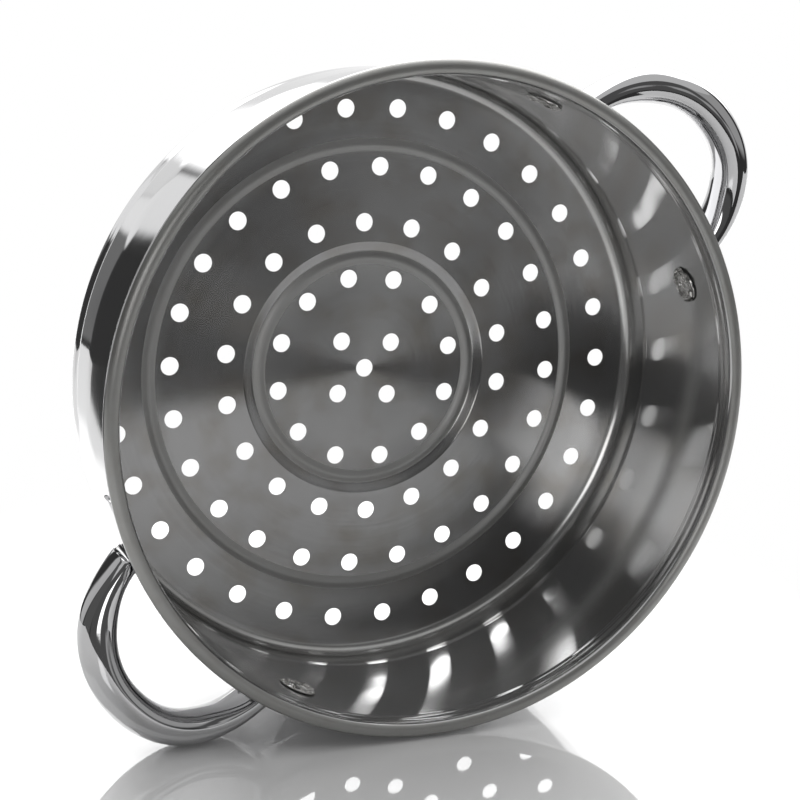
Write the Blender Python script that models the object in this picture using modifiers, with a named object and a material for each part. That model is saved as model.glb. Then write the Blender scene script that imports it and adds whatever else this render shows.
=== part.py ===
"""Perforated steamer basket: a drawn stainless bowl with two spot-welded tube handles.

The bowl is one sheet: a flat perforated base with two pressed ribs, a rounded corner, a short
lower wall, a small step, a stiffening bead that sits on the pan's rim, a straight wall and a
curled rim. Each handle is a bent tube whose ends are pressed flat, laid along the wall and
held by one spot weld an end. Units are metres, +Z is up, the base rests on Z = 0 and the
handles lie along the X axis, each about a degree off it, as they were welded.
"""

import math

import bmesh
import bpy
from mathutils import Matrix, Vector

MM = 0.001

# Sheet and clearances
SHEET = 0.5 * MM
SEAT_GAP = 0.3 * MM
CUT_OVERRUN = 2.0 * MM
MERGE_DISTANCE = 0.01 * MM

# Bowl: radii are to the middle of the sheet, heights to the inside of the base
BASE_FLAT_RADIUS = 94.2 * MM
CORNER_RADIUS = 4.85 * MM
LOWER_WALL_HEIGHT = 10.5 * MM
STEP_OUT = 1.0 * MM
STEP_HEIGHT = 3.5 * MM
BEAD_HEIGHT = 27.5 * MM
BEAD_WIDTH = 6.4 * MM
BEAD_RELIEF = 1.0 * MM
NECK_HEIGHT = 61.6 * MM
NECK_WIDTH = 5.0 * MM
NECK_RELIEF = 0.6 * MM
RIM_HEIGHT = 64.9 * MM
CURL_RADIUS = 2.2 * MM
CURL_SWEEP = math.radians(295.0)

# Perforations: one centre hole and five rings, the outermost a margin inside the base's corner
HOLE_RADIUS = 3.0 * MM
RING_MARGIN = 8.2 * MM
OUTER_RING_RADIUS = BASE_FLAT_RADIUS - RING_MARGIN
RING_RADIUS_SHARES = (0.144, 0.357, 0.566, 0.778, 1.0)
RING_COUNTS = (4, 12, 18, 24, 30)
OUTER_RINGS_ANGLE = math.radians(29.25)
CENTRE_RING_ANGLE = math.radians(-0.75)

# Ribs pressed up into the base, between the rings of holes
RIB_RADIUS_SHARES = (0.430, 0.859)
RIB_WIDTH = 4.2 * MM
RIB_CREST_WIDTH = 1.6 * MM
RIB_RELIEF = 0.8 * MM

# Handle loop: half span and reach beyond the wall are to the tube's centre line
HANDLE_RIGHT_ANGLE = math.radians(-1.1)
HANDLE_LEFT_ANGLE = math.radians(180.95)
LOOP_HALF_SPAN = 31.5 * MM
LOOP_BEYOND_WALL = 29.1 * MM
LOOP_ROUNDNESS = 2.15
LOOP_ROOT_HEIGHT = 44.8 * MM
LOOP_TIP_HEIGHT = 51.4 * MM
LOOP_RISE_SHARE = 1.6
FOOT_BEND_RADIUS = 3.8 * MM

# Handle tube: half thickness lies in the loop's plane, half depth across it; a squareness of
# two is an ellipse, and more is flatter with rounder edges, as a pressed tube is
GRIP_HALF_THICKNESS = 5.7 * MM
GRIP_HALF_DEPTH = 7.2 * MM
GRIP_SQUARENESS = 2.1
GRIP_LEAN = math.radians(16.8)
FLAT_SQUARENESS = 3.0
NECK_HALF_THICKNESS = 3.5 * MM
NECK_HALF_DEPTH = 8.4 * MM
FOOT_HALF_THICKNESS = 0.8 * MM
FOOT_HALF_DEPTH = 8.0 * MM
SWELL_LENGTH = 25.0 * MM
FOOT_END_ANGLE = math.radians(28.5)
FOOT_HEIGHT = 44.8 * MM
FOOT_TIP_ROUNDING = 3.0 * MM
FOOT_TIP_SHARE = 0.55

# Spot welds: marks on the inside of the wall, opposite the handles' feet
WELD_RIGHT_REAR_ANGLE = math.radians(23.4)
WELD_RIGHT_FRONT_ANGLE = math.radians(-24.0)
WELD_LEFT_REAR_ANGLE = math.radians(158.2)
WELD_LEFT_FRONT_ANGLE = math.radians(205.6)
WELD_HEIGHT = 43.8 * MM
WELD_RADIUS = 6.0 * MM
WELD_LIP = 0.9 * MM
WELD_EDGE = 0.3 * MM
WELD_LIP_WIDTH = 1.6 * MM
WELD_DISH = 0.4 * MM

# Facets
BOWL_STEPS = 56
HOLE_SIDES = 12
CORNER_SEGMENTS = 3
STEP_SEGMENTS = 2
BEAD_SEGMENTS = 4
NECK_SEGMENTS = 4
CURL_SEGMENTS = 9
TUBE_SIDES = 16
LOOP_STATIONS = 30
BEND_STATIONS = 5
FOOT_STATIONS = 4
WELD_STEPS = 14

HALF_SHEET = SHEET / 2
BASE_MIDDLE = HALF_SHEET
INSIDE_FLOOR = SHEET
LOWER_WALL_RADIUS = BASE_FLAT_RADIUS + CORNER_RADIUS
WALL_RADIUS = LOWER_WALL_RADIUS + STEP_OUT
WALL_OUTSIDE = WALL_RADIUS + HALF_SHEET
WALL_INSIDE = WALL_RADIUS - HALF_SHEET
LOOP_REACH = WALL_OUTSIDE + LOOP_BEYOND_WALL
LOOP_ROOT = math.sqrt(WALL_OUTSIDE ** 2 - (LOOP_HALF_SPAN + FOOT_BEND_RADIUS) ** 2)


def clear_scene():
    """Remove whatever the scene starts with."""
    for obj in list(bpy.data.objects):
        bpy.data.objects.remove(obj, do_unlink=True)


def make_collection(name):
    """Return a new collection linked to the scene."""
    collection = bpy.data.collections.new(name)
    bpy.context.scene.collection.children.link(collection)
    return collection


def make_material(name, colour, roughness, metallic):
    """Return a Principled material of one colour."""
    material = bpy.data.materials.new(name)
    material.use_nodes = True
    shader = material.node_tree.nodes["Principled BSDF"]
    shader.inputs["Base Color"].default_value = (*colour, 1.0)
    shader.inputs["Roughness"].default_value = roughness
    shader.inputs["Metallic"].default_value = metallic
    material.diffuse_color = (*colour, 1.0)
    return material


def add_object(name, bm, collection, material=None):
    """Turn a bmesh into a named object in a collection."""
    mesh = bpy.data.meshes.new(name)
    bm.to_mesh(mesh)
    bm.free()
    obj = bpy.data.objects.new(name, mesh)
    collection.objects.link(obj)
    if material:
        mesh.materials.append(material)
    return obj


def shade(obj):
    """Shade a round piece smooth, with its real edges kept sharp."""
    obj.data.shade_smooth()
    obj.data.set_sharp_from_angle(angle=math.radians(40.0))


def turn_profile(name, points, steps, collection, material):
    """Turn a profile of (radius, height) points about Z with a Screw modifier."""
    bm = bmesh.new()
    verts = [bm.verts.new((radius, 0.0, height)) for radius, height in points]
    for start, end in zip(verts, verts[1:]):
        bm.edges.new((start, end))
    obj = add_object(name, bm, collection, material)
    screw = obj.modifiers.new("turned", "SCREW")
    screw.axis = "Z"
    screw.angle = math.tau
    screw.steps = steps
    screw.render_steps = steps
    screw.use_merge_vertices = True
    screw.merge_threshold = MERGE_DISTANCE
    screw.use_smooth_shade = True
    return obj


def blend(start, end, share):
    """Return the value a share of the way from start to end, held at both ends."""
    return start + (end - start) * min(max(share, 0.0), 1.0)


def ease(share):
    """Return a share that starts and ends gently, held at both ends."""
    return (1.0 - math.cos(math.pi * min(max(share, 0.0), 1.0))) / 2


def arc(centre_radius, centre_height, radius, start, sweep, segments):
    """Return points on an arc, without its first point. Angles are from +radius towards +Z."""
    points = []
    for index in range(1, segments + 1):
        angle = start + sweep * index / segments
        points.append((
            centre_radius + radius * math.cos(angle),
            centre_height + radius * math.sin(angle),
        ))
    return points


def rib_points(radius):
    """Return a pressed rib's foot, two crest edges and foot, from the axis outwards."""
    foot = RIB_WIDTH / 2
    crest = RIB_CREST_WIDTH / 2
    top = BASE_MIDDLE + RIB_RELIEF
    return [
        (radius - foot, BASE_MIDDLE),
        (radius - crest, top),
        (radius + crest, top),
        (radius + foot, BASE_MIDDLE),
    ]


def base_points():
    """Return the base from the axis to the start of the corner."""
    inner_rib, outer_rib = [rib_points(OUTER_RING_RADIUS * share) for share in RIB_RADIUS_SHARES]
    return [
        (0.0, BASE_MIDDLE),
        *inner_rib,
        *outer_rib,
        (BASE_FLAT_RADIUS, BASE_MIDDLE),
    ]


def wall_points():
    """Return the wall from the corner to the start of the rim's curl."""
    points = arc(BASE_FLAT_RADIUS, BASE_MIDDLE + CORNER_RADIUS, CORNER_RADIUS,
                 math.radians(-90.0), math.radians(90.0), CORNER_SEGMENTS)
    step_start = INSIDE_FLOOR + LOWER_WALL_HEIGHT
    points.append((LOWER_WALL_RADIUS, step_start))
    for index in range(1, STEP_SEGMENTS + 1):
        share = index / STEP_SEGMENTS
        points.append((LOWER_WALL_RADIUS + STEP_OUT * ease(share), step_start + STEP_HEIGHT * share))
    points += swelling(BEAD_HEIGHT, BEAD_WIDTH, BEAD_RELIEF, BEAD_SEGMENTS)
    points += swelling(NECK_HEIGHT, NECK_WIDTH, -NECK_RELIEF, NECK_SEGMENTS)
    points.append((WALL_RADIUS, INSIDE_FLOOR + RIM_HEIGHT))
    return points


def swelling(height, width, relief, segments):
    """Return a rounded swelling of the wall, outwards for a positive relief."""
    points = []
    for index in range(segments + 1):
        share = index / segments
        points.append((
            WALL_RADIUS + relief * math.sin(math.pi * share) ** 2,
            INSIDE_FLOOR + height + width * (share - 0.5),
        ))
    return points


def bowl_profile():
    """Return the sheet's middle line from the centre of the base to the edge inside the curl."""
    curl = arc(WALL_RADIUS + CURL_RADIUS, INSIDE_FLOOR + RIM_HEIGHT, CURL_RADIUS,
               math.pi, -CURL_SWEEP, CURL_SEGMENTS)
    return base_points() + wall_points() + curl


def perforation_centres():
    """Return the centre of every hole in the base."""
    centres = [Vector((0.0, 0.0, 0.0))]
    ring_angles = [CENTRE_RING_ANGLE] + [OUTER_RINGS_ANGLE] * (len(RING_COUNTS) - 1)
    for share, count, first_angle in zip(RING_RADIUS_SHARES, RING_COUNTS, ring_angles):
        radius = OUTER_RING_RADIUS * share
        for index in range(count):
            angle = first_angle + math.tau * index / count
            centres.append(Vector((radius * math.cos(angle), radius * math.sin(angle), 0.0)))
    return centres


def perforation_cutter(cutters):
    """Make one punch for each hole, all in one cutter object."""
    bm = bmesh.new()
    depth = SHEET + 2 * CUT_OVERRUN
    for centre in perforation_centres():
        place = Matrix.Translation(centre + Vector((0.0, 0.0, BASE_MIDDLE)))
        bmesh.ops.create_cone(bm, cap_ends=True, segments=HOLE_SIDES, radius1=HOLE_RADIUS,
                              radius2=HOLE_RADIUS, depth=depth, matrix=place)
    cutter = add_object("perforation_punches", bm, cutters)
    cutter.hide_render = True
    cutter.display_type = "WIRE"
    return cutter


def build_bowl(parts, cutters, material):
    """Draw the bowl from one sheet and punch its base."""
    bowl = turn_profile("basket_bowl", bowl_profile(), BOWL_STEPS, parts, material)
    shell = bowl.modifiers.new("sheet", "SOLIDIFY")
    shell.thickness = SHEET
    shell.offset = 0.0
    shell.use_even_offset = True
    punch = bowl.modifiers.new("perforations", "BOOLEAN")
    punch.operation = "DIFFERENCE"
    punch.object = perforation_cutter(cutters)
    return bowl


def loop_point(share):
    """Return a point of the grip's centre line; share runs from 0 at one leg to 1 at the other."""
    angle = math.pi * share
    power = 2.0 / LOOP_ROUNDNESS
    across = LOOP_HALF_SPAN * math.copysign(abs(math.cos(angle)) ** power, math.cos(angle))
    out_share = max(math.sin(angle), 0.0) ** power
    out = LOOP_ROOT + (LOOP_REACH - LOOP_ROOT) * out_share
    return Vector((out, across, loop_height(out)))


def loop_height(out):
    """Return the loop's height at a distance out from the basket's axis."""
    out_share = (out - LOOP_ROOT) / (LOOP_REACH - LOOP_ROOT)
    rise = (LOOP_TIP_HEIGHT - LOOP_ROOT_HEIGHT) * out_share ** LOOP_RISE_SHARE
    return INSIDE_FLOOR + LOOP_ROOT_HEIGHT + rise


def foot_radius():
    """Return the radius of a foot's middle, where it lies along the wall."""
    return WALL_OUTSIDE + SEAT_GAP + FOOT_HALF_THICKNESS


def bend_centre():
    """Return the centre of the bend between a leg and its foot, as (out, across)."""
    across = LOOP_HALF_SPAN + FOOT_BEND_RADIUS
    return math.sqrt((foot_radius() + FOOT_BEND_RADIUS) ** 2 - across ** 2), across


def foot_and_bend_points():
    """Return one foot's centre line, from its tip along the wall and round the bend to the leg."""
    out, across = bend_centre()
    wall_angle = math.atan2(across, out)
    foot_height = INSIDE_FLOOR + FOOT_HEIGHT
    points = []
    for index in range(FOOT_STATIONS):
        angle = FOOT_END_ANGLE + (wall_angle - FOOT_END_ANGLE) * index / FOOT_STATIONS
        points.append(Vector((foot_radius() * math.cos(angle), foot_radius() * math.sin(angle),
                              foot_height)))
    start = wall_angle + math.pi
    sweep = 1.5 * math.pi - start
    leg_height = loop_height(out)
    for index in range(BEND_STATIONS):
        share = index / BEND_STATIONS
        angle = start + sweep * share
        points.append(Vector((out + FOOT_BEND_RADIUS * math.cos(angle),
                              across + FOOT_BEND_RADIUS * math.sin(angle),
                              blend(foot_height, leg_height, ease(share)))))
    return points


def handle_centre_line():
    """Return the whole centre line from one foot's tip to the other's."""
    foot = foot_and_bend_points()
    legs_start = bend_centre()[0]
    loop = [loop_point(index / LOOP_STATIONS) for index in range(LOOP_STATIONS + 1)]
    loop = [point for point in loop if point.x > legs_start + FOOT_BEND_RADIUS / 4]
    mirrored = [Vector((point.x, -point.y, point.z)) for point in reversed(foot)]
    return foot + loop + mirrored


def arc_lengths(points):
    """Return the distance along a line of points at each point."""
    lengths = [0.0]
    for start, end in zip(points, points[1:]):
        lengths.append(lengths[-1] + (end - start).length)
    return lengths


def tube_section(distance, bend_start, bend_end):
    """Return half thickness, half depth, lean and squareness at a distance from the nearer tip.

    The tube is flat and upright along the foot, opens through the bend, and swells and leans
    back on its way to the rounder grip.
    """
    opening_share = ease((distance - bend_start) / (bend_end - bend_start))
    swell_share = ease((distance - bend_end) / SWELL_LENGTH)
    thickness = blend(FOOT_HALF_THICKNESS, NECK_HALF_THICKNESS, opening_share)
    thickness = blend(thickness, GRIP_HALF_THICKNESS, swell_share)
    depth = blend(FOOT_HALF_DEPTH, NECK_HALF_DEPTH, opening_share)
    depth = blend(depth, GRIP_HALF_DEPTH, swell_share)
    depth *= blend(FOOT_TIP_SHARE, 1.0, math.sqrt(distance / FOOT_TIP_ROUNDING))
    lean = blend(0.0, GRIP_LEAN, swell_share)
    return thickness, depth, lean, blend(FLAT_SQUARENESS, GRIP_SQUARENESS, swell_share)


def section_matrix(point, direction, half_thickness, half_depth, lean):
    """Return the matrix that puts a unit circle across the tube at a point of its centre line."""
    up = Vector((-math.sin(lean), 0.0, math.cos(lean)))
    side = direction.cross(up).normalized()
    matrix = Matrix.Identity(4)
    matrix.col[0][:3] = side * half_thickness
    matrix.col[1][:3] = up * half_depth
    matrix.col[2][:3] = side.cross(up) * half_thickness
    matrix.col[3][:3] = point
    return matrix


def square_off(ring, squareness):
    """Push a unit circle's points out on to a unit superellipse."""
    for vert in ring:
        reach = abs(vert.co.x) ** squareness + abs(vert.co.y) ** squareness
        vert.co /= reach ** (1.0 / squareness)


def loft_tube():
    """Loft the handle's tube through its round grip and its flattened ends."""
    points = handle_centre_line()
    lengths = arc_lengths(points)
    bend_start = lengths[FOOT_STATIONS]
    bend_end = lengths[FOOT_STATIONS + BEND_STATIONS]
    bm = bmesh.new()
    previous = None
    for index, point in enumerate(points):
        before = points[max(index - 1, 0)]
        after = points[min(index + 1, len(points) - 1)]
        distance = min(lengths[index], lengths[-1] - lengths[index])
        *section, squareness = tube_section(distance, bend_start, bend_end)
        place = section_matrix(point, after - before, *section)
        last = index == len(points) - 1
        ring = bmesh.ops.create_circle(bm, cap_ends=previous is None or last, segments=TUBE_SIDES,
                                       radius=1.0)["verts"]
        square_off(ring, squareness)
        bmesh.ops.transform(bm, matrix=place, verts=ring)
        if previous:
            bridge_rings(bm, previous, ring)
        previous = ring
    bmesh.ops.recalc_face_normals(bm, faces=bm.faces[:])
    return bm


def bridge_rings(bm, first, second):
    """Join two rings of the same count, vertex to vertex."""
    count = len(first)
    for index in range(count):
        following = (index + 1) % count
        bm.faces.new((first[index], first[following], second[following], second[index]))


def build_handle(name, turn, parts, material):
    """Place one handle on the side of the basket that the turn about Z gives."""
    bm = loft_tube()
    bmesh.ops.transform(bm, matrix=Matrix.Rotation(turn, 4, "Z"), verts=bm.verts[:])
    handle = add_object(name, bm, parts, material)
    shade(handle)
    return handle


def weld_profile():
    """Return a weld mark's section about its own axis: a raised lip round a dished middle."""
    lip_middle = WELD_RADIUS - WELD_LIP_WIDTH / 2
    inner_lip = WELD_RADIUS - WELD_LIP_WIDTH
    dish = WELD_LIP - WELD_DISH
    return [
        (0.0, dish),
        (inner_lip, dish),
        (lip_middle, WELD_LIP),
        (WELD_RADIUS, WELD_EDGE),
        (WELD_RADIUS, 0.0),
        (0.0, 0.0),
    ]


def build_weld(name, angle, parts, material):
    """Set one weld mark on the inside of the wall, opposite a handle's foot."""
    weld = turn_profile(name, weld_profile(), WELD_STEPS, parts, material)
    wall_sag = WALL_INSIDE - math.sqrt(WALL_INSIDE ** 2 - WELD_RADIUS ** 2)
    out = WALL_INSIDE - SEAT_GAP - wall_sag
    weld.matrix_world = (
        Matrix.Rotation(angle, 4, "Z")
        @ Matrix.Translation((out, 0.0, INSIDE_FLOOR + WELD_HEIGHT))
        @ Matrix.Rotation(math.radians(-90.0), 4, "Y")
    )
    return weld


def build_basket():
    """Build every piece of the basket."""
    clear_scene()
    parts = make_collection("steamer_basket")
    cutters = make_collection("steamer_basket_cutters")
    satin_steel = make_material("satin_stainless", (0.42, 0.42, 0.41), 0.32, 1.0)
    polished_steel = make_material("polished_stainless", (0.55, 0.55, 0.55), 0.12, 1.0)
    weld_steel = make_material("weld_stainless", (0.30, 0.30, 0.30), 0.38, 1.0)
    build_bowl(parts, cutters, satin_steel)
    build_handle("handle_right", HANDLE_RIGHT_ANGLE, parts, polished_steel)
    build_handle("handle_left", HANDLE_LEFT_ANGLE, parts, polished_steel)
    build_weld("spot_weld_right_rear", WELD_RIGHT_REAR_ANGLE, parts, weld_steel)
    build_weld("spot_weld_right_front", WELD_RIGHT_FRONT_ANGLE, parts, weld_steel)
    build_weld("spot_weld_left_rear", WELD_LEFT_REAR_ANGLE, parts, weld_steel)
    build_weld("spot_weld_left_front", WELD_LEFT_FRONT_ANGLE, parts, weld_steel)


build_basket()
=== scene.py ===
"""Looks of the perforated steamer basket: spun, polished and spot-welded stainless steel.

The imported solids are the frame. A finer bowl, finer handles and detailed weld marks stand for
them, in the same places and sizes. Units are metres, +Z is the basket's own axis.
"""

import logging
import math
from dataclasses import dataclass, field
from enum import Enum
from typing import Iterable, Sequence

import bmesh
import bpy
from mathutils import Matrix, Vector, noise


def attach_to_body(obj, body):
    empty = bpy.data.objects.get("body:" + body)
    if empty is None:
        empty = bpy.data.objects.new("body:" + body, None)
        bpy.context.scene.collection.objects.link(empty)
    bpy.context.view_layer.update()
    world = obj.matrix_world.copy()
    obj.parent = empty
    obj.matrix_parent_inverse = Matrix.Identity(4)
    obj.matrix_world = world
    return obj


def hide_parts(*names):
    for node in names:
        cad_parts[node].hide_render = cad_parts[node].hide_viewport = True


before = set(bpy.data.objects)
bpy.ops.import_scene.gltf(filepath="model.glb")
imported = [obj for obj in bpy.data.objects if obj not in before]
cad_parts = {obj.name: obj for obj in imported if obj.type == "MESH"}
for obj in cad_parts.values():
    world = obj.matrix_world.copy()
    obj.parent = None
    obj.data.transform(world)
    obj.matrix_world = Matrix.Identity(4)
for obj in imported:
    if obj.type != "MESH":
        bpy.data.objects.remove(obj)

LOG = logging.getLogger("steamer_basket")
MM = 0.001
BODY = "root"
MERGE_DISTANCE = 0.001 * MM
# How far a face's normal leans from level (a punched edge) or looks up (a rim or inner face)
PUNCHED_LEAN = 0.3
FACING_UP = 0.25
# Between these values a noise texture does most of its swinging
NOISE_LOW = 0.3
NOISE_HIGH = 0.7
# The least reach ahead that a light panel's slopes are divided by
LEAST_REACH = 0.001

Point = tuple[float, float]


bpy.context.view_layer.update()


class Side(Enum):
    """The two handles, as turns about the basket's axis."""

    RIGHT = math.radians(-1.1)
    LEFT = math.radians(180.95)


class WeldPlace(Enum):
    """The four spot welds, as turns about the basket's axis."""

    RIGHT_REAR = math.radians(23.4)
    RIGHT_FRONT = math.radians(-24.0)
    LEFT_REAR = math.radians(158.2)
    LEFT_FRONT = math.radians(205.6)


class Region(Enum):
    """The parts of the bowl's sheet that were finished in different ways, as material indices."""

    BASE = 0
    INNER_WALL = 1
    RIM = 2
    OUTER_WALL = 3
    UNDERSIDE = 4
    PUNCHED_EDGE = 5
    RIB = 6
    LOWER_WALL = 7


def linear(hex_colour: str) -> tuple[float, float, float, float]:
    """Turn an sRGB hex colour into a linear colour.

    Args:
        hex_colour: six hex digits after a hash sign.

    Returns:
        The linear red, green, blue and an alpha of one.
    """
    channels = []
    for start in (1, 3, 5):
        value = int(hex_colour[start:start + 2], 16) / 255
        channels.append(value / 12.92 if value <= 0.04045 else ((value + 0.055) / 1.055) ** 2.4)
    return (*channels, 1.0)


def add_node(tree: bpy.types.NodeTree, kind: str, inputs: dict | None = None,
             **settings) -> bpy.types.Node:
    """Add a node with its settings, its socket values and its links.

    Args:
        tree: the node tree to add to.
        kind: the node's Blender type.
        inputs: socket name or index to a value, to the output socket to link, or to the node
            whose first output to link.
        settings: the node's own properties.

    Returns:
        The new node.
    """
    node = tree.nodes.new(kind)
    for name, value in settings.items():
        setattr(node, name, value)
    for key, value in (inputs or {}).items():
        if isinstance(value, bpy.types.Node):
            value = value.outputs[0]
        if isinstance(value, bpy.types.NodeSocket):
            tree.links.new(value, node.inputs[key])
        else:
            node.inputs[key].default_value = value
    return node


def new_material(name: str) -> bpy.types.Material:
    """Make an empty node material.

    Args:
        name: the material's name.

    Returns:
        The material, with no nodes yet.
    """
    material = bpy.data.materials.new(name)
    material.use_nodes = True
    material.node_tree.nodes.clear()
    return material


@dataclass(frozen=True)
class StainlessFinish:
    """One surface of 18/10 stainless steel and how it was worked.

    The grain runs round the basket's axis, or along nothing where there is no grain, and light
    spreads across it. Grain lines are the marks of the belt or the buff, cloud is the faint
    unevenness of the polish, tint is the straw colour that heat and oil leave, and haze is the
    share of the surface that the buff left dull.
    """

    name: str
    colour: str
    tint: str
    roughness: float
    cloud_size: float
    cloud_share: float
    wave_size: float
    wave_depth: float
    grain_across: float = 0.0
    grain_spacing: float = 0.3 * MM
    grain_depth: float = 0.0
    grain_patch: float = 3.0
    grain_turn: float = 1.3
    roughness_swing_share: float = 0.05
    haze_share: float = 0.0
    haze_roughness: float = 0.4

    def material(self) -> bpy.types.Material:
        """Build the finish as a material.

        Returns:
            A material that reads the piece's Object coordinates.
        """
        material = new_material(self.name)
        tree = material.node_tree
        place = add_node(tree, "ShaderNodeTexCoord").outputs["Object"]
        colour = add_node(tree, "ShaderNodeMix", {
            "Factor": self.cloud(tree, place),
            "A": linear(self.colour),
            "B": linear(self.tint),
        }, data_type="RGBA")
        roughness = add_node(tree, "ShaderNodeMapRange", {
            "Value": self.grain_noise(tree, place, self.grain_patch),
            "From Min": NOISE_LOW,
            "From Max": NOISE_HIGH,
            "To Min": self.roughness * (1.0 - self.roughness_swing_share),
            "To Max": self.roughness * (1.0 + self.roughness_swing_share),
        })
        shader_inputs = {
            "Base Color": colour.outputs["Result"],
            "Metallic": 1.0,
            "Roughness": roughness,
            "Normal": self.relief(tree, place),
        }
        if self.grain_across:
            shader_inputs["Anisotropic"] = self.grain_across
            shader_inputs["Anisotropic Rotation"] = 0.25
            shader_inputs["Tangent"] = add_node(tree, "ShaderNodeTangent", direction_type="RADIAL",
                                                axis="Z")
        surface = add_node(tree, "ShaderNodeBsdfPrincipled", shader_inputs)
        if self.haze_share:
            shader_inputs["Roughness"] = self.haze_roughness
            haze = add_node(tree, "ShaderNodeBsdfPrincipled", shader_inputs)
            surface = add_node(tree, "ShaderNodeMixShader",
                               {0: self.haze_share, 1: surface, 2: haze})
        add_node(tree, "ShaderNodeOutputMaterial", {"Surface": surface})
        return material

    def cloud(self, tree: bpy.types.NodeTree, place: bpy.types.NodeSocket) -> bpy.types.Node:
        """Spread soft blotches of tint over the surface.

        Args:
            tree: the material's node tree.
            place: the surface point in Object coordinates.

        Returns:
            A node that gives from none to the finish's own share of tint.
        """
        blotch = add_node(tree, "ShaderNodeTexNoise", {
            "Vector": place,
            "Scale": 1.0 / self.cloud_size,
            "Detail": 3.0,
            "Roughness": 0.55,
        })
        return add_node(tree, "ShaderNodeMapRange", {
            "Value": blotch.outputs["Fac"],
            "From Min": 0.45,
            "From Max": 0.75,
            "To Min": 0.0,
            "To Max": self.cloud_share,
        })

    def grain_noise(self, tree: bpy.types.NodeTree, place: bpy.types.NodeSocket,
                    coarseness: float) -> bpy.types.Node:
        """Draw noise out round the axis, by distance from it, height and a slow turn.

        Args:
            tree: the material's node tree.
            place: the surface point in Object coordinates.
            coarseness: how many grain spacings one blotch of the noise covers.

        Returns:
            The noise node.
        """
        blotch = self.grain_spacing * coarseness
        flat = add_node(tree, "ShaderNodeVectorMath", {0: place, 1: (1.0, 1.0, 0.0)},
                        operation="MULTIPLY")
        radius = add_node(tree, "ShaderNodeVectorMath", {0: flat}, operation="LENGTH")
        parts = add_node(tree, "ShaderNodeSeparateXYZ", {"Vector": place}).outputs
        turn = add_node(tree, "ShaderNodeMath", {0: parts["Y"], 1: parts["X"]},
                        operation="ARCTAN2")
        turn = add_node(tree, "ShaderNodeMath", {0: turn}, operation="ABSOLUTE")
        turn = add_node(tree, "ShaderNodeMath", {0: turn, 1: self.grain_turn * blotch},
                        operation="MULTIPLY")
        stretched = add_node(tree, "ShaderNodeCombineXYZ", {
            "X": radius.outputs["Value"],
            "Y": parts["Z"],
            "Z": turn,
        })
        return add_node(tree, "ShaderNodeTexNoise", {
            "Vector": stretched,
            "Scale": 1.0 / blotch,
            "Detail": 2.0,
        })

    def relief(self, tree: bpy.types.NodeTree, place: bpy.types.NodeSocket) -> bpy.types.Node:
        """Lay the grain lines over the slow waves of the polish.

        Args:
            tree: the material's node tree.
            place: the surface point in Object coordinates.

        Returns:
            The bump node whose normal the surface takes.
        """
        waves = add_node(tree, "ShaderNodeTexNoise", {
            "Vector": place,
            "Scale": 1.0 / self.wave_size,
            "Detail": 2.0,
        })
        base = add_node(tree, "ShaderNodeBump", {
            "Strength": 1.0,
            "Distance": self.wave_depth,
            "Height": waves.outputs["Fac"],
        })
        if not self.grain_depth:
            return base
        return add_node(tree, "ShaderNodeBump", {
            "Strength": 1.0,
            "Distance": self.grain_depth,
            "Height": self.grain_noise(tree, place, 1.0),
            "Normal": base,
        })


# Spun on a lathe and left satin: circular scratches a few hundredths of a millimetre apart, drawn
# coarser here so that they show, which pull highlights into wedges that point at the centre
SPUN_SATIN = StainlessFinish(
    name="spun_satin_stainless", colour="#9a9a9a", tint="#86827c", roughness=0.2,
    grain_across=1.0, grain_spacing=0.3 * MM, grain_depth=0.0012 * MM, cloud_size=16 * MM,
    cloud_share=0.8, wave_size=30 * MM, wave_depth=0.02 * MM)
# Struck by the press after spinning: the satin is flattened there into an even matt band
STRUCK_RIB = StainlessFinish(
    name="struck_rib_stainless", colour="#a3a3a2", tint="#9c9a96", roughness=0.5,
    grain_across=0.35, grain_spacing=0.3 * MM, grain_depth=0.002 * MM, cloud_size=16 * MM,
    cloud_share=0.5, wave_size=12 * MM, wave_depth=0.004 * MM)
# Drawn round the die, which leaves ridges a millimetre apart: a bright corner and thin rings
DRAWN_SATIN = StainlessFinish(
    name="drawn_satin_stainless", colour="#adadac", tint="#a3a19d", roughness=0.2,
    grain_across=0.85, grain_spacing=1.0 * MM, grain_depth=0.03 * MM, cloud_size=10 * MM,
    cloud_share=0.5, wave_size=12 * MM, wave_depth=0.006 * MM)
# Buffed along the wall: nearly a mirror, with streaks that run up the wall across the buffing lines
BUFFED_WALL = StainlessFinish(
    name="buffed_wall_stainless", colour="#bdbdbd", tint="#b5b2ae", roughness=0.085,
    grain_across=0.95, grain_spacing=0.35 * MM, grain_depth=0.0004 * MM, cloud_size=18 * MM,
    cloud_share=0.4, wave_size=14 * MM, wave_depth=0.002 * MM, haze_share=0.18)
# Rolled over and belted: an even grey satin band round the mouth
BELTED_RIM = StainlessFinish(
    name="belted_rim_stainless", colour="#9b9b99", tint="#93918d", roughness=0.42,
    grain_across=0.5, grain_spacing=0.25 * MM, grain_depth=0.004 * MM, cloud_size=6 * MM,
    cloud_share=0.5, wave_size=10 * MM, wave_depth=0.004 * MM)
# Mop polished outside: a mirror with the faint ripple of thin drawn sheet
MIRROR_WALL = StainlessFinish(
    name="mirror_wall_stainless", colour="#bcbcbd", tint="#b4b3b2", roughness=0.05,
    cloud_size=25 * MM, cloud_share=0.3, wave_size=9 * MM, wave_depth=0.006 * MM)
# Mop polished tube: a mirror, slightly uneven where the tube was bent and flattened
MIRROR_TUBE = StainlessFinish(
    name="mirror_tube_stainless", colour="#bcbcbd", tint="#b4b3b2", roughness=0.045,
    cloud_size=12 * MM, cloud_share=0.3, wave_size=3.5 * MM, wave_depth=0.008 * MM)
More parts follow.
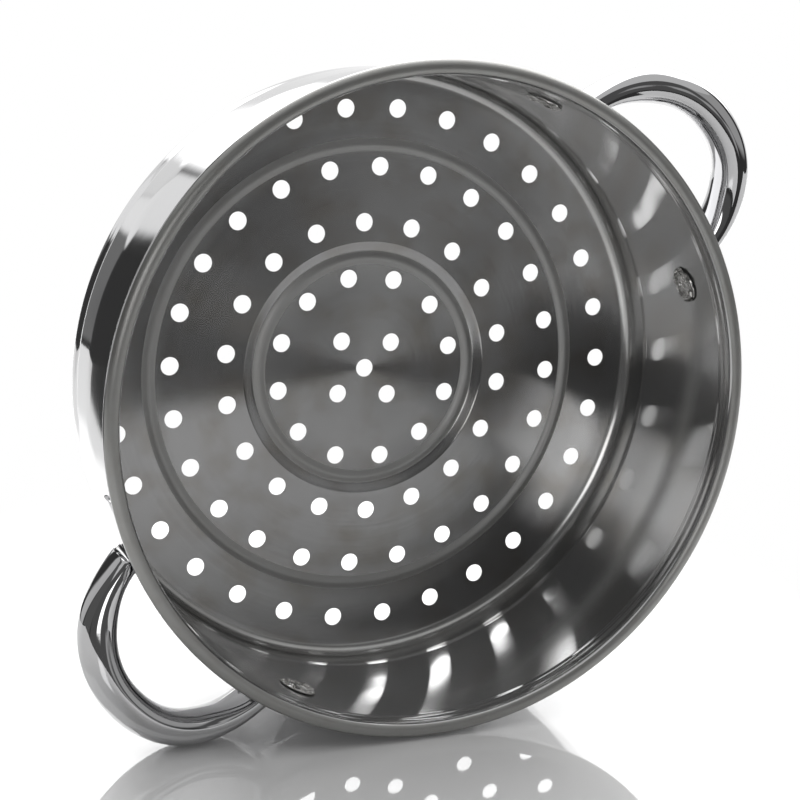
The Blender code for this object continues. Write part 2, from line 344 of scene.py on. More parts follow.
# Fused and dressed by hand: dark at the lip, uneven and glossy in the dish
WELD_SKIN = StainlessFinish(
    name="spot_weld_stainless", colour="#cccbc9", tint="#7a746c", roughness=0.1,
    cloud_size=1.6 * MM, cloud_share=0.5, wave_size=2.2 * MM, wave_depth=0.3 * MM)
# Sheared by the punch: a dull grey wall half a millimetre high round every hole
PUNCHED_EDGE = StainlessFinish(
    name="punched_edge_stainless", colour="#7c7b79", tint="#6c6b69", roughness=0.45,
    cloud_size=2 * MM, cloud_share=0.5, wave_size=1 * MM, wave_depth=0.01 * MM)


def make_object(name: str, bm: bmesh.types.BMesh,
                materials: Iterable[bpy.types.Material]) -> bpy.types.Object:
    """Turn a bmesh into an object at the origin.

    Args:
        name: the piece's name.
        bm: the piece's mesh, which is freed.
        materials: its material slots in order.

    Returns:
        The new object, linked to the scene.
    """
    mesh = bpy.data.meshes.new(name)
    bm.to_mesh(mesh)
    bm.free()
    for material in materials:
        mesh.materials.append(material)
    piece = bpy.data.objects.new(name, mesh)
    bpy.context.scene.collection.objects.link(piece)
    return piece


def apply_modifiers(piece: bpy.types.Object) -> None:
    """Replace a piece's mesh by what its modifiers make of it.

    Args:
        piece: the piece, which keeps no modifier.
    """
    graph = bpy.context.evaluated_depsgraph_get()
    made = bpy.data.meshes.new_from_object(piece.evaluated_get(graph))
    piece.modifiers.clear()
    piece.data = made


def shade_smooth(piece: bpy.types.Object, angle: float) -> None:
    """Shade a piece smooth and keep edges sharper than an angle."""
    piece.data.shade_smooth()
    piece.data.set_sharp_from_angle(angle=angle)


def attach(piece: bpy.types.Object, node: str) -> None:
    """Ride a finished piece on the basket, in the place of its solid.

    Args:
        piece: the finished piece.
        node: the solid that the piece stands for.
    """
    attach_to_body(piece, BODY)
    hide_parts(node)


def blend(start: float, end: float, share: float) -> float:
    """Return the value a share of the way from start to end, held at both ends."""
    return start + (end - start) * min(max(share, 0.0), 1.0)


def ease(share: float) -> float:
    """Return a share that starts and ends gently, held at both ends."""
    return (1.0 - math.cos(math.pi * min(max(share, 0.0), 1.0))) / 2


def swell(share: float) -> float:
    """Return a rounded ridge over the shares from nothing to one, highest in the middle."""
    return (1.0 - math.cos(math.tau * share)) / 2


@dataclass
class Bowl:
    """The drawn and punched sheet: radii to the sheet's middle, heights above its underside."""

    sheet: float = 0.5 * MM
    clearance: float = 0.01 * MM
    base_flat_radius: float = 94.2 * MM
    corner_radius: float = 4.85 * MM
    spun_corner_share: float = 1 / 3
    lower_wall_height: float = 10.5 * MM
    step_out: float = 1.0 * MM
    step_share: float = 0.45
    step_height: float = 2.6 * MM
    flare_top: float = 28.4 * MM
    flare_rounding: float = 4.0 * MM
    rim_height: float = 64.9 * MM
    curl_radius: float = 2.155 * MM
    curl_sweep: float = math.radians(295.0)
    polished_share: float = 0.15
    neck_height: float = 61.6 * MM
    neck_width: float = 5.0 * MM
    neck_relief: float = 0.25 * MM
    rib_radii: tuple[float, ...] = (37.0 * MM, 73.9 * MM)
    rib_width: float = 4.4 * MM
    rib_relief: float = 0.55 * MM
    crown_rise: float = 0.9 * MM
    crown_slope_width: float = 3.4 * MM
    crown_easing_share: float = 0.3
    step_easing_share: float = 0.25
    skirt_rise: float = 0.55 * MM
    hole_radius: float = 3.0 * MM
    punch_length: float = 3.0 * MM
    ring_radii: tuple[float, ...] = (12.4 * MM, 30.7 * MM, 48.7 * MM, 66.9 * MM, 86.0 * MM)
    ring_counts: tuple[int, ...] = (4, 12, 18, 24, 30)
    outer_rings_angle: float = math.radians(29.25)
    centre_ring_angle: float = math.radians(-0.75)
    turned_steps: int = 240
    hole_sides: int = 40
    base_steps: int = 4
    crown_steps: int = 8
    ridge_steps: int = 12
    corner_steps: int = 14
    lower_wall_steps: int = 2
    flare_steps: int = 5
    wall_steps: int = 3
    curl_steps: int = 34
    sharp_angle: float = math.radians(35.0)
    profile: list[Point] = field(default_factory=list)

    @property
    def floor(self) -> float:
        """The height of the middle of the base's sheet."""
        return self.sheet / 2 + self.clearance

    @property
    def wall_radius(self) -> float:
        """The radius of the middle of the main wall."""
        return self.base_flat_radius + self.corner_radius + self.step_out

    def line(self, radius: float, height: float, steps: int = 1) -> None:
        """Continue the profile straight to a point.

        Args:
            radius: the radius at the end of the line.
            height: the height at the end of the line.
            steps: how many points to draw it with.
        """
        last_radius, last_height = self.profile[-1]
        for index in range(1, steps + 1):
            share = index / steps
            self.profile.append((last_radius + (radius - last_radius) * share,
                                 last_height + (height - last_height) * share))

    def arc(self, centre: Point, radius: float, start: float, sweep: float, steps: int) -> None:
        """Continue the profile round an arc, by angles from outwards to upwards.

        Args:
            centre: the arc's centre.
            radius: the arc's radius.
            start: the angle at which it starts.
            sweep: the angle that it turns through.
            steps: how many points to draw it with.
        """
        for index in range(1, steps + 1):
            angle = start + sweep * index / steps
            self.profile.append((centre[0] + radius * math.cos(angle),
                                 centre[1] + radius * math.sin(angle)))

    def base_profile(self) -> None:
        """Draw the base with its ribs, its crown and its skirt, from the centre hole outwards."""
        inner, outer = self.rib_radii
        half = self.rib_width / 2
        self.profile = [(self.hole_radius / 2, self.floor)]
        self.line(inner - half, self.floor, self.base_steps)
        self.rib(inner)
        self.blend_to(inner + half + self.crown_slope_width, self.floor + self.crown_rise,
                      self.crown_easing_share, self.crown_steps)
        self.line(outer - half, self.floor, self.crown_steps)
        self.rib(outer)
        self.line(self.base_flat_radius, self.floor + self.skirt_rise, self.base_steps)

    def rib(self, radius: float) -> None:
        """Continue the profile over a pressed rib.

        Args:
            radius: the radius of the rib's crest.
        """
        for index in range(1, self.ridge_steps + 1):
            share = index / self.ridge_steps
            self.profile.append((radius + self.rib_width * (share - 0.5),
                                 self.floor + self.rib_relief * swell(share)))

    def wall_profile(self) -> None:
        """Draw the corner, the lower wall, the step, the flare, the wall, its neck and the curl."""
        lower = self.base_flat_radius + self.corner_radius
        wall = self.wall_radius
        corner = self.corner_radius - self.skirt_rise
        self.arc((lower - corner, self.floor + self.corner_radius), corner, -math.pi / 2,
                 math.pi / 2, self.corner_steps)
        step_start = self.sheet + self.lower_wall_height
        self.line(lower, step_start, self.lower_wall_steps)
        self.blend_to(lower + self.step_out * self.step_share, step_start + self.step_height,
                      self.step_easing_share, self.ridge_steps)
        self.line(wall, self.sheet + self.flare_top, self.flare_steps)
        self.line(wall, self.sheet + self.flare_top + self.flare_rounding)
        self.neck()
        rim = self.sheet + self.rim_height
        self.line(wall, rim)
        self.arc((wall + self.curl_radius, rim), self.curl_radius, math.pi, -self.curl_sweep,
                 self.curl_steps)

    def neck(self) -> None:
        """Continue up the wall and through the neck, where the sheet is drawn in a little."""
        height = self.sheet + self.neck_height
        self.line(self.wall_radius, height - self.neck_width / 2, self.wall_steps)
        for index in range(1, self.ridge_steps + 1):
            share = index / self.ridge_steps
            self.profile.append((self.wall_radius - self.neck_relief * swell(share),
                                 height + self.neck_width * (share - 0.5)))

    def blend_to(self, radius: float, height: float, easing: float, steps: int) -> None:
        """Continue the profile to a point over a slope that is rounded off at both its ends.

        Args:
            radius: the radius at the end of the slope.
            height: the height at the end of the slope.
            easing: the share of the slope that each rounding takes, up to one half.
            steps: how many points to draw it with.
        """
        last_radius, last_height = self.profile[-1]
        for index in range(1, steps + 1):
            share = index / steps
            near = min(share, 1.0 - share)
            if near < easing:
                gone = near * near / (2 * easing * (1.0 - easing))
                gone = gone if share < 0.5 else 1.0 - gone
            else:
                gone = (share - easing / 2) / (1.0 - easing)
            self.profile.append((last_radius + (radius - last_radius) * gone,
                                 last_height + (height - last_height) * share))

    def hole_centres(self) -> list[Vector]:
        """Place every perforation.

        Returns:
            The holes' centres at the middle of the sheet.
        """
        centres = [Vector((0.0, 0.0, self.floor))]
        firsts = [self.centre_ring_angle] + [self.outer_rings_angle] * (len(self.ring_radii) - 1)
        for radius, count, first in zip(self.ring_radii, self.ring_counts, firsts):
            for index in range(count):
                angle = first + math.tau * index / count
                centres.append(Vector((radius * math.cos(angle), radius * math.sin(angle),
                                       self.floor)))
        return centres

    def punches(self) -> bpy.types.Object:
        """Make one punch for each perforation.

        Returns:
            An object that holds all the punches.
        """
        bm = bmesh.new()
        for centre in self.hole_centres():
            bmesh.ops.create_cone(bm, cap_ends=True, segments=self.hole_sides,
                                  radius1=self.hole_radius, radius2=self.hole_radius,
                                  depth=self.punch_length, matrix=Matrix.Translation(centre))
        return make_object("punches", bm, ())

    def turned_sheet(self) -> bmesh.types.BMesh:
        """Spin the profile once round the basket's axis.

        Returns:
            The sheet's middle surface, with its normals recalculated.
        """
        self.base_profile()
        self.wall_profile()
        bm = bmesh.new()
        verts = [bm.verts.new((radius, 0.0, height)) for radius, height in self.profile]
        edges = [bm.edges.new(pair) for pair in zip(verts, verts[1:])]
        bmesh.ops.spin(bm, geom=verts + edges, cent=(0.0, 0.0, 0.0), axis=(0.0, 0.0, 1.0),
                       dvec=(0.0, 0.0, 0.0), angle=math.tau, steps=self.turned_steps,
                       use_merge=True, use_duplicate=False)
        bmesh.ops.remove_doubles(bm, verts=bm.verts[:], dist=MERGE_DISTANCE)
        bmesh.ops.recalc_face_normals(bm, faces=bm.faces[:])
        return bm

    def region(self, centre: Vector, normal: Vector) -> Region:
        """Say which finish a face of the sheet has, from its place and the way it faces.

        Args:
            centre: the face's centre.
            normal: the face's normal.

        Returns:
            The region that the face belongs to.
        """
        radius = math.hypot(centre.x, centre.y)
        outward = (normal.x * centre.x + normal.y * centre.y) / radius
        inside_corner = self.base_flat_radius + self.corner_radius * self.spun_corner_share
        if radius < self.base_flat_radius and abs(normal.z) < PUNCHED_LEAN:
            return Region.PUNCHED_EDGE
        if any(abs(radius - rib) < self.rib_width / 2 for rib in self.rib_radii) and normal.z > 0:
            return Region.RIB
        if radius < inside_corner:
            return Region.BASE if normal.z > 0 else Region.UNDERSIDE
        if outward < 0 and centre.z < self.sheet + self.lower_wall_height + self.step_height / 2:
            return Region.LOWER_WALL
        curl_bottom = self.sheet + self.rim_height - self.curl_radius / 2
        crest = self.wall_radius + self.curl_radius * self.polished_share
        if radius > crest and centre.z > curl_bottom and normal.z > FACING_UP:
            return Region.RIM
        if radius < crest and (outward < 0 or normal.z > FACING_UP):
            return Region.INNER_WALL
        return Region.OUTER_WALL

    def build(self) -> bpy.types.Object:
        """Make the bowl, punch it and dress each region in its own finish.

        Returns:
            The finished piece.
        """
        finishes = (SPUN_SATIN, BUFFED_WALL, BELTED_RIM, MIRROR_WALL, SPUN_SATIN, PUNCHED_EDGE,
                    STRUCK_RIB, DRAWN_SATIN)
        materials = [finish.material() for finish in finishes]
        bowl = make_object("basket_bowl_visual", self.turned_sheet(), materials)
        shell = bowl.modifiers.new("sheet", "SOLIDIFY")
        shell.thickness = self.sheet
        shell.offset = 0.0
        shell.use_even_offset = True
        punches = self.punches()
        punch = bowl.modifiers.new("perforations", "BOOLEAN")
        punch.operation = "DIFFERENCE"
        punch.object = punches
        apply_modifiers(bowl)
        bpy.data.objects.remove(punches)
        for face in bowl.data.polygons:
            face.material_index = self.region(face.center, face.normal).value
        shade_smooth(bowl, self.sharp_angle)
        attach(bowl, "basket_bowl")
        return bowl


@dataclass
class Handle:
    """A bent tube with flattened feet; distances run out from the basket's axis."""

    side: Side
    bowl: Bowl
    half_span: float = 31.5 * MM
    reach: float = 129.37 * MM
    root: float = 93.9 * MM
    roundness: float = 2.15
    root_height: float = 44.8 * MM
    tip_height: float = 51.4 * MM
    rise_power: float = 1.6
    bend_radius: float = 3.8 * MM
    bend_gap_share: float = 1 / 8
    seat_gap: float = 0.3 * MM
    grip_thickness: float = 5.7 * MM
    grip_depth: float = 7.2 * MM
    grip_squareness: float = 2.1
    grip_lean: float = math.radians(16.8)
    flat_squareness: float = 3.0
    neck_thickness: float = 3.5 * MM
    neck_depth: float = 8.4 * MM
    foot_thickness: float = 0.8 * MM
    foot_depth: float = 8.0 * MM
    swell_length: float = 25.0 * MM
    foot_end_angle: float = math.radians(28.5)
    foot_height: float = 44.8 * MM
    foot_tip_rounding: float = 3.0 * MM
    foot_tip_share: float = 0.55
    loop_stations: int = 110
    bend_stations: int = 16
    foot_stations: int = 14
    sides: int = 48
    sharp_angle: float = math.radians(50.0)

    def foot_radius(self) -> float:
        """Return how far the middle of a foot lies from the basket's axis."""
        return self.bowl.wall_radius + self.bowl.sheet / 2 + self.seat_gap + self.foot_thickness

    def bend_centre(self) -> Point:
        """Return the centre of the bend between a leg and its foot, as out and across."""
        across = self.half_span + self.bend_radius
        return math.sqrt((self.foot_radius() + self.bend_radius) ** 2 - across ** 2), across

    def loop_height(self, out: float) -> float:
        """Work out how high the loop stands.

        Args:
            out: the distance from the basket's axis.

        Returns:
            The height of the loop's centre line there.
        """
        share = max((out - self.root) / (self.reach - self.root), 0.0)
        rise = (self.tip_height - self.root_height) * share ** self.rise_power
        return self.bowl.sheet + self.root_height + rise

    def loop_point(self, share: float) -> Vector:
        """Work out a point of the grip's centre line.

        Args:
            share: the place along the loop, from one leg at 0 to the other at 1.

        Returns:
            The point, out along X and across along Y.
        """
        angle = math.pi * share
        power = 2.0 / self.roundness
        across = self.half_span * math.copysign(abs(math.cos(angle)) ** power, math.cos(angle))
        out = self.root + (self.reach - self.root) * max(math.sin(angle), 0.0) ** power
        return Vector((out, across, self.loop_height(out)))

    def foot_line(self) -> list[Vector]:
        """Draw one foot, from its tip along the wall and round the bend.

        Returns:
            The points of its centre line.
        """
        out, across = self.bend_centre()
        wall_angle = math.atan2(across, out)
        height = self.bowl.sheet + self.foot_height
        points = []
        for index in range(self.foot_stations):
            share = index / self.foot_stations
            angle = self.foot_end_angle + (wall_angle - self.foot_end_angle) * share
            points.append(Vector((self.foot_radius() * math.cos(angle),
                                  self.foot_radius() * math.sin(angle), height)))
        start = wall_angle + math.pi
        sweep = 1.5 * math.pi - start
        leg_height = self.loop_height(out)
        for index in range(self.bend_stations):
            share = index / self.bend_stations
            angle = start + sweep * share
            points.append(Vector((out + self.bend_radius * math.cos(angle),
                                  across + self.bend_radius * math.sin(angle),
                                  blend(height, leg_height, ease(share)))))
        return points

    def centre_line(self) -> list[Vector]:
        """Draw the whole tube, from one foot's tip to the other's.

        Returns:
            The points of its centre line.
        """
        foot = self.foot_line()
        legs_start = self.bend_centre()[0] + self.bend_radius * self.bend_gap_share
        shares = (index / self.loop_stations for index in range(self.loop_stations + 1))
        loop = [point for point in map(self.loop_point, shares) if point.x > legs_start]
        mirrored = [Vector((point.x, -point.y, point.z)) for point in reversed(foot)]
        return foot + loop + mirrored

    def section(self, distance: float, bend_start: float, bend_end: float) -> tuple[float, ...]:
        """Work out the tube's section at a distance from its tip.

        Args:
            distance: the distance along the centre line from the nearer tip.
            bend_start: where the bend starts.
            bend_end: where the bend ends.

        Returns:
            Half thickness, half depth, lean and squareness.
        """
        opening = ease((distance - bend_start) / (bend_end - bend_start))
        grip = ease((distance - bend_end) / self.swell_length)
        thickness = blend(self.foot_thickness, self.neck_thickness, opening)
        thickness = blend(thickness, self.grip_thickness, grip)
        depth = blend(blend(self.foot_depth, self.neck_depth, opening), self.grip_depth, grip)
        depth *= blend(self.foot_tip_share, 1.0, math.sqrt(distance / self.foot_tip_rounding))
        lean = blend(0.0, self.grip_lean, grip)
        return thickness, depth, lean, blend(self.flat_squareness, self.grip_squareness, grip)

    def loft(self) -> bmesh.types.BMesh:
        """Loft the tube through unit circles scaled to each section.

        Returns:
            The closed tube, before it is turned to its side of the basket.
        """
        points = self.centre_line()
        lengths = [0.0]
        for start, end in zip(points, points[1:]):
            lengths.append(lengths[-1] + (end - start).length)
        bend_start = lengths[self.foot_stations]
        bend_end = lengths[self.foot_stations + self.bend_stations]
        bm = bmesh.new()
        previous: list[bmesh.types.BMEdge] = []
        for index, point in enumerate(points):
            heading = points[min(index + 1, len(points) - 1)] - points[max(index - 1, 0)]
            distance = min(lengths[index], lengths[-1] - lengths[index])
            thickness, depth, lean, squareness = self.section(distance, bend_start, bend_end)
            up = Vector((-math.sin(lean), 0.0, math.cos(lean)))
            across = heading.cross(up).normalized()
            place = Matrix.Identity(4)
            place.col[0][:3] = across * thickness
            place.col[1][:3] = up * depth
            place.col[2][:3] = across.cross(up) * thickness
            place.col[3][:3] = point
            is_end = index in (0, len(points) - 1)
            ring = bmesh.ops.create_circle(bm, cap_ends=is_end, segments=self.sides,
                                           radius=1.0)["verts"]
            for vert in ring:
                reach = abs(vert.co.x) ** squareness + abs(vert.co.y) ** squareness
                vert.co /= reach ** (1.0 / squareness)
            bmesh.ops.transform(bm, matrix=place, verts=ring)
            edges = list({edge for vert in ring for edge in vert.link_edges})
            if previous:
                bmesh.ops.bridge_loops(bm, edges=previous + edges)
            previous = edges
        bmesh.ops.recalc_face_normals(bm, faces=bm.faces[:])
        return bm

    def build(self) -> bpy.types.Object:
        """Make the handle on its side of the basket.

        Returns:
            The finished piece.
        """
        name = f"handle_{self.side.name.lower()}"
        bm = self.loft()
        bmesh.ops.transform(bm, matrix=Matrix.Rotation(self.side.value, 4, "Z"), verts=bm.verts[:])
        handle = make_object(f"{name}_visual", bm, [MIRROR_TUBE.material()])
        shade_smooth(handle, self.sharp_angle)
        attach(handle, name)
        return handle


@dataclass
class SpotWeld:
    """The mark of one spot weld on the inside of the wall."""

    place: WeldPlace
    bowl: Bowl
    height: float = 43.8 * MM
    radius: float = 6.0 * MM
    lip: float = 0.9 * MM
    lip_width: float = 2.8 * MM
    dish: float = 0.5 * MM
    seat_gap: float = 0.3 * MM
    pole_radius: float = 0.05 * MM
    roughening: float = 0.8
    bump_size: float = 1.7 * MM
    bump_settling: float = 0.4
    bump_variety: float = 7.0
    dish_steps: int = 16
    lip_steps: int = 8
    turned_steps: int = 64
    sharp_angle: float = math.radians(60.0)

    def skin(self) -> bmesh.types.BMesh:
        """Spin the mark's section and roughen its face with the ripples of the cooled metal.

        Returns:
            The mark lying on its back, its face towards +Z.
        """
        bm = bmesh.new()
        inner_lip = self.radius - self.lip_width
        lip_middle = self.radius - self.lip_width / 2
        dish_floor = self.lip - self.dish
        points: list[Point] = [(self.pole_radius, dish_floor)]
        for index in range(1, self.dish_steps + 1):
            points.append((inner_lip * index / self.dish_steps, dish_floor))
        for index in range(1, self.lip_steps + 1):
            share = index / self.lip_steps
            points.append((blend(inner_lip, lip_middle, share),
                           dish_floor + self.dish * ease(share)))
        for index in range(1, self.lip_steps + 1):
            angle = math.pi / 2 * (1.0 - index / self.lip_steps)
            points.append((lip_middle + (self.radius - lip_middle) * math.cos(angle),
                           self.lip * math.sin(angle)))
        verts = [bm.verts.new((radius, 0.0, height)) for radius, height in points]
        edges = [bm.edges.new(pair) for pair in zip(verts, verts[1:])]
        bmesh.ops.spin(bm, geom=verts + edges, cent=(0.0, 0.0, 0.0), axis=(0.0, 0.0, 1.0),
                       dvec=(0.0, 0.0, 0.0), angle=math.tau, steps=self.turned_steps,
                       use_merge=True, use_duplicate=False)
        bmesh.ops.remove_doubles(bm, verts=bm.verts[:], dist=MERGE_DISTANCE)
        bmesh.ops.holes_fill(bm, edges=bm.edges[:], sides=0)
        bmesh.ops.recalc_face_normals(bm, faces=bm.faces[:])
        for vert in bm.verts:
            spot = vert.co / self.bump_size
            spot.x += self.place.value * self.bump_variety
            vert.co.z *= 1.0 + self.roughening * (noise.noise(spot) - self.bump_settling)
        return bm

    def build(self) -> bpy.types.Object:
        """Set the mark against the wall.

        Returns:
            The finished piece.
        """
        wall_inside = self.bowl.wall_radius - self.bowl.sheet / 2
        sag = wall_inside - math.sqrt(wall_inside ** 2 - self.radius ** 2)
        out = wall_inside - self.seat_gap - sag
        place = (Matrix.Rotation(self.place.value, 4, "Z")
                 @ Matrix.Translation((out, 0.0, self.bowl.sheet + self.height))
                 @ Matrix.Rotation(-math.pi / 2, 4, "Y"))
        bm = self.skin()
        bmesh.ops.transform(bm, matrix=place, verts=bm.verts[:])
        name = f"spot_weld_{self.place.name.lower()}"
        weld = make_object(f"{name}_visual", bm, [WELD_SKIN.material()])
        shade_smooth(weld, self.sharp_angle)
        attach(weld, name)
        return weld


@dataclass(frozen=True)
class SoftPanel:
    """A rectangular light panel or screen round the set, by its direction and angular size."""

    azimuth: float
    elevation: float
    width: float
    height: float
    strength: float
    edge: float = 0.06


@dataclass
class Studio:
    """The glossy white floor, the light round the set and the camera of the photograph.

    The basket lies on its side in the photograph, so the floor leans in the basket's own frame.
    Azimuth on the set is 0 behind the basket as the camera sees it, and grows to the right.
    """

    floor_azimuth: float = math.radians(47.97)
    floor_elevation: float = math.radians(4.63)
    floor_outline: tuple[Point, ...] = (
        (-1.1, -0.52), (0.57, -0.52), (0.3, -0.2), (1.1, 0.0), (1.1, 1.1), (-0.42, 1.1),
        (-0.42, 0.36), (-0.16, 0.06), (-1.1, -0.05))
    fade_start: float = 0.165
    fade_end: float = 0.21
    target: Vector = field(default_factory=lambda: Vector((-2.62, -4.14, 30.0)) * MM)
    distance: float = 639.2 * MM
    camera_azimuth: float = math.radians(108.33)
    camera_elevation: float = math.radians(64.65)
    roll: float = math.radians(118.38)
    lens: float = 90.04
    sensor_width: float = 36.0
    floor_albedo: float = 0.9
    floor_gloss: float = 0.18
    floor_roughness: float = 0.03
    room_strength: float = 0.05
    panels: tuple[SoftPanel, ...] = (
        SoftPanel(azimuth=5, elevation=41, width=70, height=62, strength=3.4, edge=0.06),
        SoftPanel(azimuth=5, elevation=0, width=70, height=26, strength=1.0, edge=0.02),
        SoftPanel(azimuth=-33, elevation=16, width=7, height=28, strength=1.15, edge=0.01),
        SoftPanel(azimuth=-31, elevation=-4, width=10, height=13, strength=0.22, edge=0.01),
        SoftPanel(azimuth=0, elevation=88, width=110, height=70, strength=0.8),
        SoftPanel(azimuth=121, elevation=-3, width=12, height=12, strength=0.5, edge=0.04),
        SoftPanel(azimuth=130, elevation=6, width=12, height=12, strength=0.5, edge=0.04),
        SoftPanel(azimuth=138, elevation=15, width=12, height=14, strength=0.5, edge=0.04),
        SoftPanel(azimuth=88, elevation=28, width=56, height=60, strength=0.5, edge=0.1),
        SoftPanel(azimuth=180, elevation=28, width=120, height=84, strength=0.12, edge=0.1),
        SoftPanel(azimuth=-95, elevation=22, width=50, height=60, strength=0.14, edge=0.1),
        SoftPanel(azimuth=-57, elevation=8, width=22, height=36, strength=0.7, edge=0.04),
        SoftPanel(azimuth=-176, elevation=14, width=26, height=17, strength=3.2, edge=0.02),
    )

    def floor_normal(self) -> Vector:
        """Work out which way the floor faces.

        Returns:
            The floor's normal in the basket's frame.
        """
        flat = math.cos(self.floor_elevation)
        return Vector((flat * math.cos(self.floor_azimuth), flat * math.sin(self.floor_azimuth),
                       math.sin(self.floor_elevation)))

    def towards_camera(self) -> Vector:
        """Work out where the camera stands.

        Returns:
            The direction from the target to the camera.
        """
        flat = math.cos(self.camera_elevation)
        return Vector((flat * math.cos(self.camera_azimuth), flat * math.sin(self.camera_azimuth),
                       math.sin(self.camera_elevation)))

    def set_axes(self) -> Matrix:
        """Work out how the set lies in the basket's frame.

        Returns:
            A matrix with the rows right, ahead and up.
        """
        up = self.floor_normal()
        ahead = -self.towards_camera()
        ahead = (ahead - ahead.dot(up) * up).normalized()
        return Matrix((ahead.cross(up), ahead, up))

    def place_camera(self) -> None:
        """Put the camera where the photograph was taken from."""
        data = bpy.data.cameras.new("photograph_camera")
        data.lens = self.lens
        data.sensor_width = self.sensor_width
        camera = bpy.data.objects.new("photograph_camera", data)
        bpy.context.scene.collection.objects.link(camera)
        camera.rotation_mode = "QUATERNION"
        looking = (-self.towards_camera()).to_track_quat("-Z", "Y")
        camera.rotation_quaternion = looking @ Matrix.Rotation(self.roll, 3, "Z").to_quaternion()
        camera.location = self.target + self.towards_camera() * self.distance
        bpy.context.scene.camera = camera

    def lay_floor(self, pieces: Sequence[bpy.types.Object]) -> None:
        """Lay the floor against the lowest points of the basket.

        Args:
            pieces: the finished pieces that rest on it.
        """
        up = self.floor_normal()
        depth = min(up.dot(vert.co) for piece in pieces for vert in piece.data.vertices)
        bm = bmesh.new()
        place = Matrix.Translation(up * depth) @ self.set_axes().transposed().to_4x4()
        corners = [place @ Vector((*corner, 0.0)) for corner in self.floor_outline]
        bm.faces.new([bm.verts.new(corner) for corner in corners])
        floor = make_object("floor", bm, [self.floor_material()])

    def floor_material(self) -> bpy.types.Material:
        """Make glossy white acrylic, clear from below.

        Seen straight by the camera it also fades out round the basket, because a floor that
        leans in the basket's frame means nothing from other sides than the photograph's.

        Returns:
            The floor's material.
        """
        material = new_material("glossy_white_acrylic")
        tree = material.node_tree
        matt = add_node(tree, "ShaderNodeBsdfDiffuse", {"Color": (*[self.floor_albedo] * 3, 1.0)})
        gloss = add_node(tree, "ShaderNodeBsdfGlossy", {
            "Color": (1.0, 1.0, 1.0, 1.0),
            "Roughness": self.floor_roughness,
        })
        top = add_node(tree, "ShaderNodeMixShader", {0: self.floor_gloss, 1: matt, 2: gloss})
        clear = add_node(tree, "ShaderNodeBsdfTransparent")
        place = add_node(tree, "ShaderNodeTexCoord").outputs["Object"]
        reach = add_node(tree, "ShaderNodeVectorMath", {0: place}, operation="LENGTH")
        far = add_node(tree, "ShaderNodeMapRange", {
            "Value": reach.outputs["Value"],
            "From Min": self.fade_start,
            "From Max": self.fade_end,
            "To Min": 0.0,
            "To Max": 1.0,
        }, interpolation_type="SMOOTHSTEP")
        seen = add_node(tree, "ShaderNodeLightPath").outputs["Is Camera Ray"]
        faded = add_node(tree, "ShaderNodeMath", {0: far, 1: seen}, operation="MULTIPLY")
        below = add_node(tree, "ShaderNodeNewGeometry").outputs["Backfacing"]
        side = add_node(tree, "ShaderNodeMixShader", {
            0: add_node(tree, "ShaderNodeMath", {0: below, 1: faded}, operation="MAXIMUM"),
            1: top,
            2: clear,
        })
        add_node(tree, "ShaderNodeOutputMaterial", {"Surface": side})
        return material

    def panel_light(self, tree: bpy.types.NodeTree, direction: bpy.types.NodeSocket,
                    panel: SoftPanel) -> bpy.types.Node:
        """Add one panel's light for a direction.

        Args:
            tree: the world's node tree.
            direction: the direction that light comes from, in the basket's frame.
            panel: the panel.

        Returns:
            The node that gives the panel's strength, soft at its edges.
        """
        azimuth, elevation = math.radians(panel.azimuth), math.radians(panel.elevation)
        axes = self.set_axes().transposed()
        facing = axes @ Vector((math.sin(azimuth) * math.cos(elevation),
                                math.cos(azimuth) * math.cos(elevation), math.sin(elevation)))
        across = axes @ Vector((math.cos(azimuth), -math.sin(azimuth), 0.0))
        upward = across.cross(facing)

        def along(axis: Vector) -> bpy.types.NodeSocket:
            """Return how far the direction reaches along an axis."""
            return add_node(tree, "ShaderNodeVectorMath", {0: direction, 1: axis},
                            operation="DOT_PRODUCT").outputs["Value"]

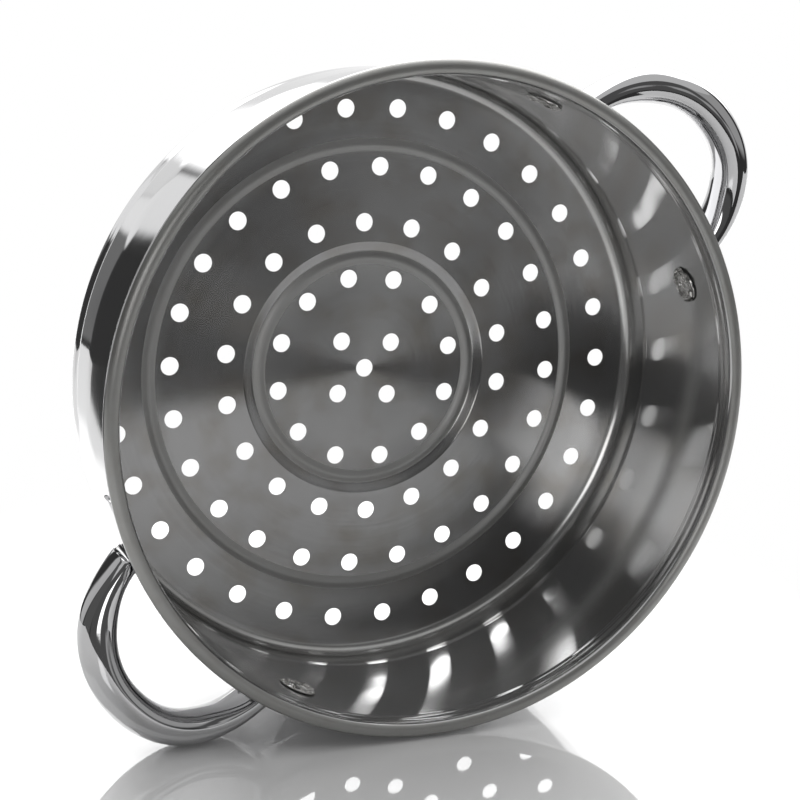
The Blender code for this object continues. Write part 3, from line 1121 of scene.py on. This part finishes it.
        ahead = along(facing)
        reach = add_node(tree, "ShaderNodeMath", {0: ahead, 1: LEAST_REACH},
                         operation="MAXIMUM")
        light = add_node(tree, "ShaderNodeMath", {0: ahead, 1: 0.0}, operation="GREATER_THAN")
        for axis, size in ((across, panel.width), (upward, panel.height)):
            half = math.tan(math.radians(size) / 2)
            slope = add_node(tree, "ShaderNodeMath", {0: along(axis), 1: reach},
                             operation="DIVIDE")
            slope = add_node(tree, "ShaderNodeMath", {0: slope}, operation="ABSOLUTE")
            inside = add_node(tree, "ShaderNodeMapRange", {
                "Value": slope,
                "From Min": half + panel.edge,
                "From Max": half - panel.edge,
                "To Min": 0.0,
                "To Max": 1.0,
            }, interpolation_type="SMOOTHSTEP")
            light = add_node(tree, "ShaderNodeMath", {0: light, 1: inside},
                             operation="MULTIPLY")
        return add_node(tree, "ShaderNodeMath", {0: light, 1: panel.strength},
                        operation="MULTIPLY")

    def light_world(self) -> None:
        """Make the world: a dim room with soft panels, and plain white for the camera."""
        world = bpy.data.worlds.new("studio")
        bpy.context.scene.world = world
        world.use_nodes = True
        tree = world.node_tree
        tree.nodes.clear()
        direction = add_node(tree, "ShaderNodeTexCoord").outputs["Generated"]
        light: float | bpy.types.Node = self.room_strength
        for panel in self.panels:
            light = add_node(tree, "ShaderNodeMath",
                             {0: light, 1: self.panel_light(tree, direction, panel)},
                             operation="MAXIMUM")
        seen = add_node(tree, "ShaderNodeLightPath").outputs["Is Camera Ray"]
        strength = add_node(tree, "ShaderNodeMix", {"Factor": seen, "A": light, "B": 1.0},
                            data_type="FLOAT")
        background = add_node(tree, "ShaderNodeBackground", {
            "Color": (1.0, 1.0, 1.0, 1.0),
            "Strength": strength.outputs["Result"],
        })
        add_node(tree, "ShaderNodeOutputWorld", {"Surface": background})

    def build(self, pieces: Sequence[bpy.types.Object]) -> None:
        """Set up the camera, the light and the floor.

        Args:
            pieces: the finished pieces that rest on the floor.
        """
        bpy.context.scene.view_settings.view_transform = "Standard"
        self.place_camera()
        self.light_world()
        self.lay_floor(pieces)


def main() -> None:
    """Build and dress every piece of the basket, then the set round it."""
    logging.basicConfig(level=logging.INFO, format="%(name)s %(message)s")
    bowl = Bowl()
    pieces = [bowl.build()]
    pieces += [Handle(side, bowl).build() for side in Side]
    pieces += [SpotWeld(place, bowl).build() for place in WeldPlace]
    for piece in pieces:
        LOG.info("%s: %d faces", piece.name, len(piece.data.polygons))
    Studio().build(pieces)


if __name__ == "__main__":
    main()
